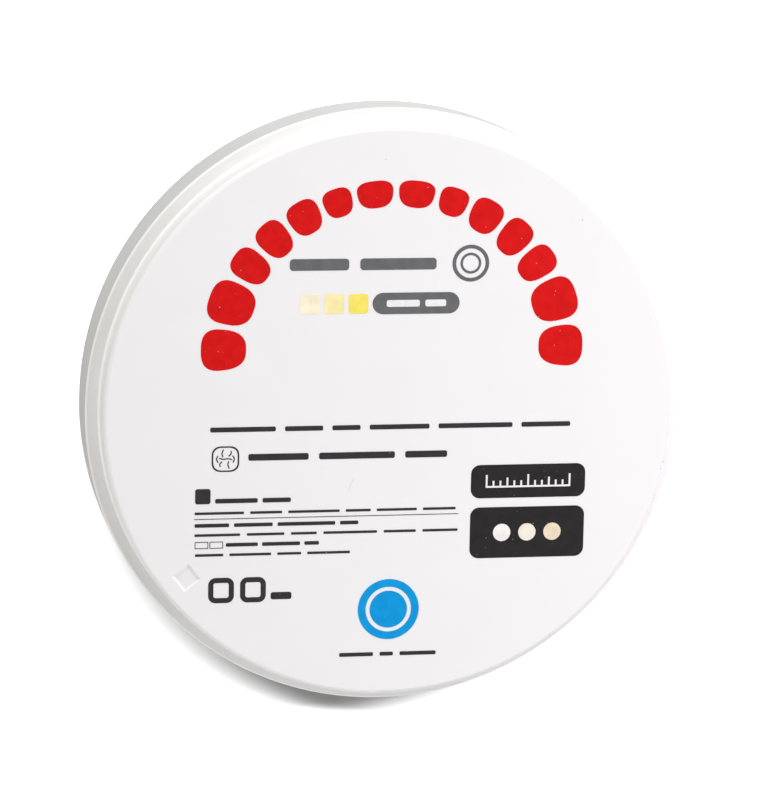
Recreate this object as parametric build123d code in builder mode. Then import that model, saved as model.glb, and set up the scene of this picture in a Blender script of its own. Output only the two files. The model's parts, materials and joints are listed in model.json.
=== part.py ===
from build123d import *
import os

# Pre-sintered ceramic milling disc, pressed and turned as one piece.
# Its axis is +Z, it lies on its back face, and the origin is at the centre of that face.
# Seen from the front, +X points right and +Y points to the top of the face as it is read.

# Driving dimensions, in millimetres
collar_diameter = 98.0
collar_height = 10.0
shoulder_width = 2.25
disc_height = 22.0

# Edges of the section
face_edge_radius = 0.75
boss_root_chamfer = 0.25
collar_edge_chamfer = 0.3

# Square orientation mark, sunk into the front face near its edge
mark_side = 3.35
mark_depth = 0.25
mark_wall_draft = 55.0
mark_to_boss_wall = 2.8
mark_angle = -141.6

# The collar lies midway between the two faces, so both bosses stand out equally
collar_radius = collar_diameter / 2
boss_radius = collar_radius - shoulder_width
lower_shoulder_z = (disc_height - collar_height) / 2
upper_shoulder_z = lower_shoulder_z + collar_height

with BuildPart() as milling_disc:
    # Half section from the back face, over the collar, to the front face
    with BuildSketch(Plane.XZ) as half_section:
        with BuildLine():
            Polyline(
                (0, 0),
                (boss_radius, 0),
                (boss_radius, lower_shoulder_z),
                (collar_radius, lower_shoulder_z),
                (collar_radius, upper_shoulder_z),
                (boss_radius, upper_shoulder_z),
                (boss_radius, disc_height),
                (0, disc_height),
                close=True,
            )
        make_face()
        collar_corners = half_section.vertices().group_by(Axis.X)[-1]
        chamfer(collar_corners, length=collar_edge_chamfer)
        root_corners = half_section.vertices().group_by(Axis.X)[1].sort_by(Axis.Y)[1:-1]
        chamfer(root_corners, length=boss_root_chamfer)
        boss_corners = half_section.vertices().group_by(Axis.X)[1].sort_by(Axis.Y)
        fillet([boss_corners[0], boss_corners[-1]], radius=face_edge_radius)
    revolve(axis=Axis.Z)

    # The mark's sides run along and across the disc's radius, and its walls lean outwards
    mark_centre_radius = boss_radius - mark_to_boss_wall - mark_side / 2
    with BuildSketch(Plane.XY.offset(disc_height)):
        with PolarLocations(mark_centre_radius, 1, start_angle=mark_angle):
            Rectangle(mark_side, mark_side)
    extrude(amount=-mark_depth, taper=mark_wall_draft, mode=Mode.SUBTRACT)

milling_disc.part.label = "milling_disc"
os.makedirs("parts", exist_ok=True)
export_step(milling_disc.part, "parts/milling_disc.step")
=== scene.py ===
import bmesh
import bpy
import json
import math
from mathutils import Matrix, Vector

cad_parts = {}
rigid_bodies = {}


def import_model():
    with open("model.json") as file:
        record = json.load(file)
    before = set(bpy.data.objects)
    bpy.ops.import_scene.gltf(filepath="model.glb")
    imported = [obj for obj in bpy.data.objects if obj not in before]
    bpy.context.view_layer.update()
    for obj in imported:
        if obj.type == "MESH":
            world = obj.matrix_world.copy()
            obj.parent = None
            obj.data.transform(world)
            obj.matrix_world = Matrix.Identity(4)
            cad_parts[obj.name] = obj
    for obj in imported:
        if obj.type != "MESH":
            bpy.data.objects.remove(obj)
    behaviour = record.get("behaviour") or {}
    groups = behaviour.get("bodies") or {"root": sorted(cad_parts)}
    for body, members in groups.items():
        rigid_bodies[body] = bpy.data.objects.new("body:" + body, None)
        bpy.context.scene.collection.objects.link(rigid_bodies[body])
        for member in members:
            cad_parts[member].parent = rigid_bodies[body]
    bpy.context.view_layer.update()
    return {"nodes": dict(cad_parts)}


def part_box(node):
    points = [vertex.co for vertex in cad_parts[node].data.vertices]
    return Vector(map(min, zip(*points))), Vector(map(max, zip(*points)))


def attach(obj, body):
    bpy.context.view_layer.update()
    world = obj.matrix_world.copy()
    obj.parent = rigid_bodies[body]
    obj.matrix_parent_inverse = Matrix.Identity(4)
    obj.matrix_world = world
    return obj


# The looks of a dental milling disc, on the solid that the frame holds: its ceramic, its print and a studio
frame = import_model()

MM = 0.001

# Places on the disc, in millimetres, in the frame of the part
disc_low, disc_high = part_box("milling_disc")
face_height = disc_high.z / MM
floor_height = disc_low.z / MM

# Ink lies on the face in thin layers; a second layer lies on the first
ink_sunk = 0.01
ink_thickness = 0.02
second_ink_thickness = 0.035
speck_thickness = 0.012

# The floor lies this much below the disc, so that the two faces don't coincide
floor_gap = 0.02

# Steps in a corner or a line's end, in a full circle, and in the outline of a crown
arc_steps = 8
circle_steps = 96
crown_steps = 48

# The corner radius of a bar, as a share of its height
bar_rounding = 0.3

# The label and the shade fields stand in one row
second_row_y = 18.2

# The collar's wall is painted darker, as painted shade. The painted shade starts between these distances
# from the axis, and ends between these distances from the collar's middle plane, in millimetres
painted_shade_radii = (48.8, 48.9)
painted_shade_reach = (4.72, 4.62)

# The ceramic in the pinholes of the ink
bare_ceramic = (0.872, 0.866, 0.852)

# The floor's level where the disc is lit by it, where gloss mirrors it, and where the camera sees it
floor_bounce = 0.035
floor_in_gloss = 0.17
floor_to_camera = 0.66

world_level = 0.331
world_tint = (1, 0.981, 0.978)

# Sockets of a Mix node, which go by number: the factor, and two values and a result of each kind
mix_factor = 0
mix_values = (2, 3)
mix_colours = (6, 7)
mixed_value = 0
mixed_colour = 2


def material(name, roughness, specular):
    """A material with a Principled shader, and a maker of further nodes in it."""
    made = bpy.data.materials.new(name)
    made.use_nodes = True
    tree = made.node_tree
    shader = tree.nodes["Principled BSDF"]
    shader.inputs["Roughness"].default_value = roughness
    shader.inputs["Specular IOR Level"].default_value = specular

    def node(kind, **values):
        new = tree.nodes.new(kind)
        for key, value in values.items():
            setattr(new, key, value)
        return new

    return made, shader, node, tree.links.new


def noise(node, link, scale, detail, roughness=0.5):
    """Noise in the object's own coordinates; scale is in cycles per metre."""
    place = node("ShaderNodeTexCoord")
    made = node("ShaderNodeTexNoise")
    made.inputs["Scale"].default_value = scale
    made.inputs["Detail"].default_value = detail
    made.inputs["Roughness"].default_value = roughness
    link(place.outputs["Object"], made.inputs["Vector"])
    return made.outputs["Fac"]


def ramp(node, link, value, low, high, low_colour, high_colour):
    """One colour up to the low value, the other from the high value, and a blend between them."""
    made = node("ShaderNodeValToRGB")
    made.color_ramp.elements[0].position = low
    made.color_ramp.elements[1].position = high
    made.color_ramp.elements[0].color = (*low_colour, 1)
    made.color_ramp.elements[1].color = (*high_colour, 1)
    link(value, made.inputs["Fac"])
    return made.outputs["Color"]


def around_axis(node, link):
    """The distance from the disc's axis and the height, as two values."""
    place = node("ShaderNodeTexCoord")
    parts = node("ShaderNodeSeparateXYZ")
    link(place.outputs["Object"], parts.inputs[0])
    x, y = parts.outputs["X"], parts.outputs["Y"]
    squares = [calculate(node, link, "MULTIPLY", side, side) for side in (x, y)]
    radius = calculate(node, link, "SQRT", calculate(node, link, "ADD", *squares))
    return radius, parts.outputs["Z"]


def calculate(node, link, operation, *values):
    """The result of one operation on numbers, on other nodes' values, or on both."""
    made = node("ShaderNodeMath", operation=operation)
    for socket, value in zip(made.inputs, values):
        if isinstance(value, (int, float)):
            socket.default_value = value
        else:
            link(value, socket)
    return made.outputs[0]


def soft_step(node, link, value, start, end):
    """0 before the start and 1 past the end, with an even slope between them."""
    made = node("ShaderNodeMapRange")
    made.inputs["From Min"].default_value = start
    made.inputs["From Max"].default_value = end
    link(value, made.inputs["Value"])
    return made.outputs["Result"]


def collar_wall(node, link, radius, height):
    """1 on the collar's outer wall between its two chamfers, where the shade is painted, and 0 elsewhere.
    """
    middle = calculate(node, link, "SUBTRACT", height, face_height / 2 * MM)
    from_middle = calculate(node, link, "ABSOLUTE", middle)
    outside = soft_step(node, link, radius, *(limit * MM for limit in painted_shade_radii))
    between_edges = soft_step(node, link, from_middle, *(limit * MM for limit in painted_shade_reach))
    return calculate(node, link, "MULTIPLY", outside, between_edges)


def turning_lines(node, link, radius, height):
    """Streaks round the axis, as a lathe tool leaves them on the compacted powder."""
    across = node("ShaderNodeCombineXYZ")
    link(radius, across.inputs["X"])
    link(height, across.inputs["Z"])
    streaks = node("ShaderNodeTexNoise")
    streaks.inputs["Scale"].default_value = 3500
    streaks.inputs["Detail"].default_value = 3
    link(across.outputs[0], streaks.inputs["Vector"])
    return streaks.outputs["Fac"]


def ceramic():
    """Chalky pre-sintered ceramic, faintly mottled; the collar's wall is painted darker, as painted shade.
    """
    made, shader, node, link = material("ceramic", roughness=0.75, specular=0.25)
    radius, height = around_axis(node, link)
    clouds = noise(node, link, scale=90, detail=3)
    turned = ramp(node, link, clouds, 0.3, 0.7, (0.866, 0.860, 0.846), (0.878, 0.872, 0.858))
    # The darker colour on the collar's wall is painted shade
    painted_shade_colour = ramp(node, link, clouds, 0.3, 0.7, (0.637, 0.636, 0.622), (0.659, 0.658, 0.643))
    colour = node("ShaderNodeMix", data_type="RGBA")
    link(collar_wall(node, link, radius, height), colour.inputs[mix_factor])
    link(turned, colour.inputs[mix_colours[0]])
    link(painted_shade_colour, colour.inputs[mix_colours[1]])
    link(colour.outputs[mixed_colour], shader.inputs["Base Color"])

    grain = node("ShaderNodeBump")
    grain.inputs["Strength"].default_value = 0.06
    grain.inputs["Distance"].default_value = 0.03 * MM
    link(noise(node, link, scale=5200, detail=4, roughness=0.6), grain.inputs["Height"])
    lathe = node("ShaderNodeBump")
    lathe.inputs["Strength"].default_value = 0.05
    lathe.inputs["Distance"].default_value = 0.02 * MM
    link(turning_lines(node, link, radius, height), lathe.inputs["Height"])
    link(grain.outputs["Normal"], lathe.inputs["Normal"])
    link(lathe.outputs["Normal"], shader.inputs["Normal"])

    shader.inputs["Subsurface Weight"].default_value = 0.12
    shader.inputs["Subsurface Radius"].default_value = (1.0, 0.9, 0.8)
    shader.inputs["Subsurface Scale"].default_value = 0.6 * MM
    return made


def ink(name, colour):
    """Pad-printed ink: slightly uneven, with a few pinholes where the ceramic shows."""
    made, shader, node, link = material(name, roughness=0.72, specular=0.15)
    thin_gain, thin_lift, thick_gain = 1.07, 0.002, 0.95
    pinhole_level, pinhole_edge = 0.2, 0.03
    lighter = tuple(min(1.0, level * thin_gain + thin_lift) for level in colour)
    darker = tuple(level * thick_gain for level in colour)
    clouds = noise(node, link, scale=600, detail=4)
    body = ramp(node, link, clouds, 0.35, 0.65, darker, lighter)
    grains = noise(node, link, scale=3200, detail=1)
    cover = ramp(node, link, grains, pinhole_level - pinhole_edge, pinhole_level, (0, 0, 0), (1, 1, 1))
    mix = node("ShaderNodeMix", data_type="RGBA")
    mix.inputs[mix_colours[0]].default_value = (*bare_ceramic, 1)
    link(cover, mix.inputs[mix_factor])
    link(body, mix.inputs[mix_colours[1]])
    link(mix.outputs[mixed_colour], shader.inputs["Base Color"])
    return made


def rounded(x, y, width, height, radius):
    """Outline of a rounded rectangle about (x, y)."""
    outline = []
    for corner, (right, up) in enumerate(((1, 1), (-1, 1), (-1, -1), (1, -1))):
        centre_x = x + right * (width / 2 - radius)
        centre_y = y + up * (height / 2 - radius)
        for step in range(arc_steps + 1):
            angle = math.pi / 2 * (corner + step / arc_steps)
            outline.append((centre_x + radius * math.cos(angle), centre_y + radius * math.sin(angle)))
    return outline


def smooth(points):
    """The same line with its corners cut twice, ends kept."""
    for _ in range(2):
        cut = [points[0]]
        for (ax, ay), (bx, by) in zip(points, points[1:]):
            for share in (0.25, 0.75):
                cut.append((ax * (1 - share) + bx * share, ay * (1 - share) + by * share))
        points = cut + [points[-1]]
    return points


def circle(x, y, radius, steps=circle_steps):
    """Outline of a circle about (x, y)."""
    turns = [2 * math.pi * step / steps for step in range(steps)]
    return [(x + radius * math.cos(a), y + radius * math.sin(a)) for a in turns]


class Print:
    """One print in one ink: closed plates a few hundredths of a millimetre thick."""

    def __init__(self, thickness=ink_thickness):
        self.mesh = bmesh.new()
        self.low = (face_height - ink_sunk) * MM
        self.high = (face_height + thickness) * MM

    def ring(self, outline, height):
        """The outline as vertices at one height."""
        return [self.mesh.verts.new((x * MM, y * MM, height)) for x, y in outline]

    def wall(self, lower, upper):
        """Faces from one ring to the other, all the way round."""
        for i in range(len(lower)):
            j = (i + 1) % len(lower)
            self.mesh.faces.new((lower[i], lower[j], upper[j], upper[i]))

    def plate(self, outline):
        """A closed plate inside the outline."""
        lower, upper = self.ring(outline, self.low), self.ring(outline, self.high)
        self.mesh.faces.new(upper)
        self.mesh.faces.new(list(reversed(lower)))
        self.wall(lower, upper)

    def frame(self, outer, inner):
        """A plate with a hole; both outlines have the same number of points."""
        outer_low, outer_high = self.ring(outer, self.low), self.ring(outer, self.high)
        inner_low, inner_high = self.ring(inner, self.low), self.ring(inner, self.high)
        self.wall(outer_low, outer_high)
        self.wall(inner_high, inner_low)
        self.wall(outer_high, inner_high)
        self.wall(inner_low, outer_low)

    def stroke(self, points, width):
        """A line of even width with round ends."""
        half = width / 2
        left, right = [], []
        for i, (x, y) in enumerate(points):
            before = points[max(i - 1, 0)]
            after = points[min(i + 1, len(points) - 1)]
            along = Vector((after[0] - before[0], after[1] - before[1])).normalized()
            left.append((x - along.y * half, y + along.x * half))
            right.append((x + along.y * half, y - along.x * half))
        outline = right
        for end, start in ((points[-1], right[-1]), (points[0], left[0])):
            angle = math.atan2(start[1] - end[1], start[0] - end[0])
            for step in range(1, arc_steps):
                turn = angle + math.pi * step / arc_steps
                outline.append((end[0] + half * math.cos(turn), end[1] + half * math.sin(turn)))
            if end is points[-1]:
                outline.extend(reversed(left))
        self.plate(outline)

    def words(self, x, y, height, lengths, gap):
        """A line of plain bars from x to the right, as long as words, about the height y."""
        for length in lengths:
            self.plate(rounded(x + length / 2, y, length, height, height * bar_rounding))
            x += length + gap

    def finish(self, name, surface):
        """The print as an object of its own, which rides on the disc."""
        bmesh.ops.recalc_face_normals(self.mesh, faces=self.mesh.faces)
        data = bpy.data.meshes.new(name)
        self.mesh.to_mesh(data)
        self.mesh.free()
        data.materials.append(surface)
        made = bpy.data.objects.new(name, data)
        bpy.context.scene.collection.objects.link(made)
        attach(made, "root")


def arch_place(turn):
    """A point of the dental arch and the direction outwards there."""
    half_width, half_depth, centre_y = 27.5, 25.0, 11.0
    x = half_width * math.cos(turn)
    y = half_depth * math.sin(turn)
    outwards = Vector((x / half_width**2, y / half_depth**2)).normalized()
    return Vector((x, y + centre_y)), outwards


def tooth_crown(centre, outwards, width, depth):
    """A crown seen from above: a rounded block, a little wider on its outer side."""
    squareness, flare = 2.7, 0.12
    outline = []
    for step in range(crown_steps):
        angle = 2 * math.pi * step / crown_steps
        c, s = math.cos(angle), math.sin(angle)
        across = width / 2 * math.copysign(abs(c) ** (2 / squareness), c)
        out = depth / 2 * math.copysign(abs(s) ** (2 / squareness), s)
        across *= 1 + flare * out / (depth / 2)
        point = centre + outwards * out + Vector((outwards.y, -outwards.x)) * across
        outline.append((point.x, point.y))
    return outline


def follow_arch(turn, length, direction):
    """The turn that lies that much further along the arch."""
    step = direction * math.radians(0.1)
    while length > 0:
        here, _ = arch_place(turn)
        turn += step
        there, _ = arch_place(turn)
        length -= (there - here).length
    return turn


def dental_arch():
    """Red crowns side by side round an arch, alike on both sides of its middle."""
    # Width and depth of each crown, from the middle to the end of the arch
    front_teeth = ((5.8, 4.4), (4.7, 4.7), (5.2, 5.6))
    back_teeth = ((4.9, 6.2), (4.9, 6.5), (6.9, 7.5), (6.6, 7.3))
    gap = 0.8
    made = Print()
    for direction in (-1, 1):
        turn = follow_arch(math.radians(90), gap / 2, direction)
        for width, depth in front_teeth + back_teeth:
            turn = follow_arch(turn, width / 2, direction)
            centre, outwards = arch_place(turn)
            made.plate(tooth_crown(centre, outwards, width, depth))
            turn = follow_arch(turn, width / 2 + gap, direction)
    made.finish("print_red_arch", ink("red_ink", (0.655, 0.003, 0.003)))


def title(grey, white):
    """Grey print inside the arch: two bars and a disc symbol, and under them a label with two pale bars."""
    upper_y, symbol_x = 24.6, 12.4
    made = Print()
    made.words(-17.0, upper_y, 1.9, (9.6, 12.4), 1.8)
    for outer, inner in ((3.0, 2.4), (1.7, 1.3)):
        made.frame(circle(symbol_x, upper_y, outer), circle(symbol_x, upper_y, inner))
    made.plate(rounded(3.6, second_row_y, 14.2, 3.5, 1.74))
    made.finish("print_grey_title", grey)
    bars = Print(second_ink_thickness)
    bars.words(-1.2, second_row_y, 1.1, (5.4, 3.4), 0.9)
    bars.finish("print_label_bars", white)


def shade_fields():
    """Three shade fields from ivory to yellow."""
    shades = ((0.93, 0.86, 0.62), (0.93, 0.83, 0.40), (0.90, 0.76, 0.13))
    side, corner, pitch, x = 3.2, 0.5, 3.9, -13.6
    for number, shade in enumerate(shades):
        made = Print()
        made.plate(rounded(x + pitch * number, second_row_y, side, side, corner))
        made.finish(f"print_shade_field_{number + 1}", ink(f"shade_{number + 1}_ink", shade))


def molar_symbol(dark):
    """A molar seen from above in thin lines: its outline and its fissures."""
    x, y, reach = -27.0, -6.8, 2.3
    outline_width, fissure_width = 0.26, 0.195
    squareness, wide, tall = 0.07, 1.04, 0.98

    def four_lobes(size):
        """A circle drawn out at its four corners."""
        outline = []
        for step in range(circle_steps):
            turn = 2 * math.pi * step / circle_steps
            out = size * (1 - squareness * math.cos(4 * turn))
            outline.append((x + out * wide * math.cos(turn), y + out * tall * math.sin(turn)))
        return outline

    made = Print()
    made.frame(four_lobes(reach), four_lobes(reach - outline_width))
    # From the middle groove to the small ones round it
    fissures = (
        ((-0.95, 0.12), (-0.3, -0.06), (0.35, 0.1), (1.0, -0.08)),
        ((-0.45, 0.42), (-0.62, 0.9), (-0.36, 1.5)),
        ((0.5, -0.42), (0.36, -0.95), (0.6, -1.5)),
        ((1.25, -0.5), (1.5, 0.0), (1.2, 0.5)),
        ((-1.25, 0.5), (-1.5, 0.0), (-1.2, -0.5)),
        ((0.55, 0.5), (0.95, 0.85), (0.9, 1.25)),
        ((-0.6, -0.45), (-0.95, -0.8), (-0.85, -1.2)),
    )
    for path in fissures:
        made.stroke(smooth([(x + right, y + up) for right, up in path]), fissure_width)
    made.finish("print_molar_symbol", dark)


def text_lines(dark):
    """Lines of print as thin bars, each as long as its line and as heavy as its lettering is."""
    left = -31.9
    box_y = -20.95
    # Each line's left end and height on the face, the height of its bars, their lengths and the gap
    lines = (
        (-29.5, -2.0, 0.8, (10.6, 6.2, 4.6, 9.8, 12.2, 8.1), 1.5),
        (-23.3, -6.6, 1.1, (9.8, 12.4, 6.9), 1.7),
        (-28.6, -13.7, 0.75, (6.9, 4.6), 0.8),
        (left, -15.7, 0.42, (8.0, 5.2, 8.4, 4.1, 6.6, 5.4), 1.0),
        (left, -17.7, 0.6, (5.6, 6.3, 9.4, 3.0), 0.8),
        (left, -19.3, 0.42, (7.4, 6.1, 4.2, 8.8, 5.3, 5.8), 1.1),
        (-26.8, box_y, 0.6, (5.2, 6.2, 2.4), 0.7),
        (-31.8, -22.6, 0.42, (4.6, 6.8, 3.9, 7.0), 1.0),
        (-8.0, -39.85, 0.65, (5.6, 2.2, 6.0), 1.1),
    )
    made = Print()
    for line in lines:
        made.words(*line)

    square_side, rule_y, rule_right, rule_width = 2.5, -16.64, 11.2, 0.12
    made.plate(rounded(-30.6, -12.9, square_side, square_side, 0.4))
    made.stroke(((left, rule_y), (rule_right, rule_y)), rule_width)

    box_width, box_height, box_line = 2.2, 1.15, 0.12
    for box_x in (-30.75, -28.35):
        outer = rounded(box_x, box_y, box_width, box_height, 0.12)
        inner = rounded(box_x, box_y, box_width - 2 * box_line, box_height - 2 * box_line, 0.08)
        made.frame(outer, inner)
    made.finish("print_text_lines", dark)


def squares(dark):
    """Two square outlines with a short bar beside them."""
    made = Print()
    side, line, y = 4.2, 0.85, -28.5
    hole = side - 2 * line
    for x in (-27.5, -22.3):
        made.frame(rounded(x, y, side, side, 1.2), rounded(x, y, hole, hole, 0.35))
    made.words(-19.4, -29.6, 1.2, (3.4,), 0)
    made.finish("print_squares", dark)


def ruler_outline(x, y, ticks, pitch, line):
    """A ruler: a base line about (x, y) with ticks on it, of which every third and sixth is longer."""
    short, longer, longest = 1.0, 1.5, 2.0
    half = line / 2
    first = x - pitch * (ticks - 1) / 2
    last = first + pitch * (ticks - 1)
    outline = [(first - half, y - half), (last + half, y - half)]
    for tick in reversed(range(ticks)):
        tick_x = first + pitch * tick
        top = y + (longest if tick % 6 == 0 else longer if tick % 3 == 0 else short)
        if tick < ticks - 1:
            outline.append((tick_x + half, y + half))
        outline.append((tick_x + half, top))
        outline.append((tick_x - half, top))
        if tick > 0:
            outline.append((tick_x - half, y + half))
    return outline


def dark_panels(black, white):
    """Two dark fields with rounded corners: a scale in the upper, shade dots in the lower."""
    made = Print()
    x, width, corner = 22.75, 19.0, 1.5
    upper_y, upper_height = -11.4, 5.55
    lower_y, lower_height = -19.95, 8.5
    made.plate(rounded(x, upper_y, width, upper_height, corner))
    made.plate(rounded(x, lower_y, width, lower_height, corner))
    made.finish("print_dark_panels", black)
    ruler = Print(second_ink_thickness)
    ruler.plate(ruler_outline(x, upper_y - 0.9, ticks=13, pitch=1.15, line=0.3))
    ruler.finish("print_scale", white)
    dot_radius, dot_pitch = 1.45, 4.2
    shades = ((0.86, 0.84, 0.80), (0.84, 0.78, 0.66), (0.80, 0.69, 0.50))
    for number, shade in enumerate(shades):
        dot = Print(second_ink_thickness)
        dot.plate(circle(x + dot_pitch * (number - 1), lower_y, dot_radius, steps=64))
        dot.finish(f"print_shade_dot_{number + 1}", ink(f"dot_{number + 1}_ink", shade))


def blue_target():
    """A blue dot in a blue ring, with the bare ceramic between them."""
    x, y = 0.0, -32.35
    ring_radius, gap_radius, dot_radius = 5.05, 3.75, 3.1
    made = Print()
    made.frame(circle(x, y, ring_radius), circle(x, y, gap_radius))
    made.plate(circle(x, y, dot_radius))
    made.finish("print_blue_target", ink("blue_ink", (0.0, 0.31, 0.69)))


def specks():
    """Small dark pores and one fine hair on the face."""
    grey = ink("speck_grey", (0.30, 0.29, 0.28))
    made = Print(speck_thickness)
    # Each pore's place and radius
    top_pores = ((30.6, 31.5, 0.09), (-1.8, 41.5, 0.07))
    right_pores = ((45.2, -8.7, 0.08), (44.9, -9.8, 0.06), (27.1, -37.5, 0.07))
    for x, y, radius in top_pores + right_pores:
        made.plate(circle(x, y, radius, steps=16))
    made.finish("specks", grey)
    hair = Print(speck_thickness)
    hair_width = 0.07
    hair_line = [(-6.75, -12.4), (-6.65, -11.6), (-6.4, -11.0), (-6.0, -10.4)]
    hair.stroke(smooth(hair_line), hair_width)
    hair.finish("hair", ink("hair_grey", (0.66, 0.65, 0.64)))


def floor():
    """A pale floor under the disc, white to the camera where no shadow falls."""
    reach = 3.0
    bpy.ops.mesh.primitive_plane_add(size=2 * reach, location=(0, 0, (floor_height - floor_gap) * MM))
    made = bpy.context.object
    made.name = "floor"
    surface = bpy.data.materials.new("floor")
    surface.use_nodes = True
    tree = surface.node_tree
    tree.nodes.clear()
    output = tree.nodes.new("ShaderNodeOutputMaterial")
    path = tree.nodes.new("ShaderNodeLightPath")
    matt = tree.nodes.new("ShaderNodeBsdfDiffuse")
    link = tree.links.new

    def mixed(factor, first, second):
        """The first value where the factor is 0, and the second where it is 1."""
        mix = tree.nodes.new("ShaderNodeMix")
        link(factor, mix.inputs[mix_factor])
        for number, value in zip(mix_values, (first, second)):
            if isinstance(value, float):
                mix.inputs[number].default_value = value
            else:
                link(value, mix.inputs[number])
        return mix.outputs[mixed_value]

    in_gloss = tree.nodes.new("ShaderNodeMath")
    in_gloss.operation = "MAXIMUM"
    link(path.outputs["Is Glossy Ray"], in_gloss.inputs[0])
    link(path.outputs["Is Transmission Ray"], in_gloss.inputs[1])
    indirect = mixed(in_gloss.outputs[0], floor_bounce, floor_in_gloss)
    level = mixed(path.outputs["Is Camera Ray"], indirect, floor_to_camera)
    link(level, matt.inputs["Color"])
    link(matt.outputs[0], output.inputs["Surface"])
    made.data.materials.append(surface)
    return made


def world():
    """An even pale surround, pure white where the camera sees it."""
    made = bpy.data.worlds.new("studio")
    bpy.context.scene.world = made
    made.use_nodes = True
    tree = made.node_tree
    lit = tree.nodes["Background"]
    lit.inputs["Color"].default_value = (*world_tint, 1)
    lit.inputs["Strength"].default_value = world_level
    white = tree.nodes.new("ShaderNodeBackground")
    white.inputs["Color"].default_value = (1, 1, 1, 1)
    path = tree.nodes.new("ShaderNodeLightPath")
    choose = tree.nodes.new("ShaderNodeMixShader")
    sources = (path.outputs["Is Camera Ray"], lit.outputs[0], white.outputs[0])
    for source, socket in zip(sources, choose.inputs):
        tree.links.new(source, socket)
    tree.links.new(choose.outputs[0], tree.nodes["World Output"].inputs["Surface"])


def lamp(name, lit, azimuth, elevation, distance, side, watts, colour=(1, 1, 1)):
    """A soft square lamp on what is lit; azimuth is counted from +X towards +Y."""
    data = bpy.data.lights.new(name, "AREA")
    data.shape = "SQUARE"
    data.size = side
    data.energy = watts
    data.color = colour
    made = bpy.data.objects.new(name, data)
    bpy.context.scene.collection.objects.link(made)
    a, e = math.radians(azimuth), math.radians(elevation)
    towards = Vector((math.cos(a) * math.cos(e), math.sin(a) * math.cos(e), math.sin(e)))
    made.location = towards * distance
    made.rotation_mode = "QUATERNION"
    made.rotation_quaternion = towards.to_track_quat("Z", "Y")
    made.visible_camera = False
    made.light_linking.receiver_collection = lit
    return made


def softbox(name, lit, azimuth, elevation, distance, width, height, watts):
    """A long level softbox far away: it shades what is below the disc and spares the sides."""
    made = lamp(name, lit, azimuth, elevation, distance, width, watts)
    made.data.shape = "RECTANGLE"
    made.data.size_y = height


def lighting(ground):
    """Six soft lamps for the disc alone, and a softbox for the floor alone that draws its shadow."""
    on_disc = bpy.data.collections.new("on_disc")
    on_ground = bpy.data.collections.new("on_ground")
    on_ground.objects.link(ground)
    for piece in bpy.context.scene.objects:
        if piece.type == "MESH" and piece is not ground:
            on_disc.objects.link(piece)
    lamp("top", on_disc, azimuth=95, elevation=8, distance=1.0, side=0.6,
         watts=7.5, colour=(0.994, 1.0, 0.988))
    lamp("left", on_disc, azimuth=165, elevation=8, distance=1.0, side=0.6,
         watts=4.45, colour=(1.0, 0.998, 0.988))
    lamp("low", on_disc, azimuth=250, elevation=8, distance=1.0, side=0.8,
         watts=5.92, colour=(1.0, 0.99, 0.992))
    lamp("high", on_disc, azimuth=45, elevation=30, distance=1.0, side=0.6,
         watts=4.48, colour=(0.991, 0.989, 1.0))
    lamp("right", on_disc, azimuth=30, elevation=35, distance=0.33, side=0.2,
         watts=0.302, colour=(0.94, 0.912, 1.0))
    lamp("lower_right", on_disc, azimuth=-30, elevation=40, distance=0.33, side=0.2,
         watts=0.27, colour=(0.94, 0.891, 1.0))
    softbox("overhead", on_ground, azimuth=84, elevation=64, distance=10, width=14, height=1.6, watts=5200)


def camera():
    """The photograph's camera: almost in front of the face, a little above and to the left."""
    place = Vector((-108.1, 123.0, 609.7)) * MM
    look = Vector((0.17557, -0.19786, -0.96438)).normalized()
    up = Vector((0.01703, 0.98006, -0.19798))
    right = look.cross(up).normalized()
    up = right.cross(look)
    data = bpy.data.cameras.new("camera")
    data.lens = 170.3
    data.sensor_width = 36
    data.clip_start = 0.05
    data.clip_end = 20
    made = bpy.data.objects.new("camera", data)
    bpy.context.scene.collection.objects.link(made)
    turned = Matrix((right, up, -look)).transposed().to_4x4()
    made.matrix_world = Matrix.Translation(place) @ turned
    bpy.context.scene.camera = made


bpy.context.scene.view_settings.view_transform = "Standard"

white_ink = ink("white_ink", (0.83, 0.83, 0.83))
black_ink = ink("black_ink", (0.020, 0.018, 0.018))
grey_ink = ink("grey_ink", (0.135, 0.137, 0.14))
text_ink = ink("text_ink", (0.034, 0.031, 0.033))

disc = frame["nodes"]["milling_disc"]
disc.data.materials.clear()
disc.data.materials.append(ceramic())

dental_arch()
title(grey_ink, white_ink)
shade_fields()
molar_symbol(text_ink)
text_lines(text_ink)
squares(text_ink)
dark_panels(black_ink, white_ink)
blue_target()
specks()

ground = floor()
world()
lighting(ground)
camera()
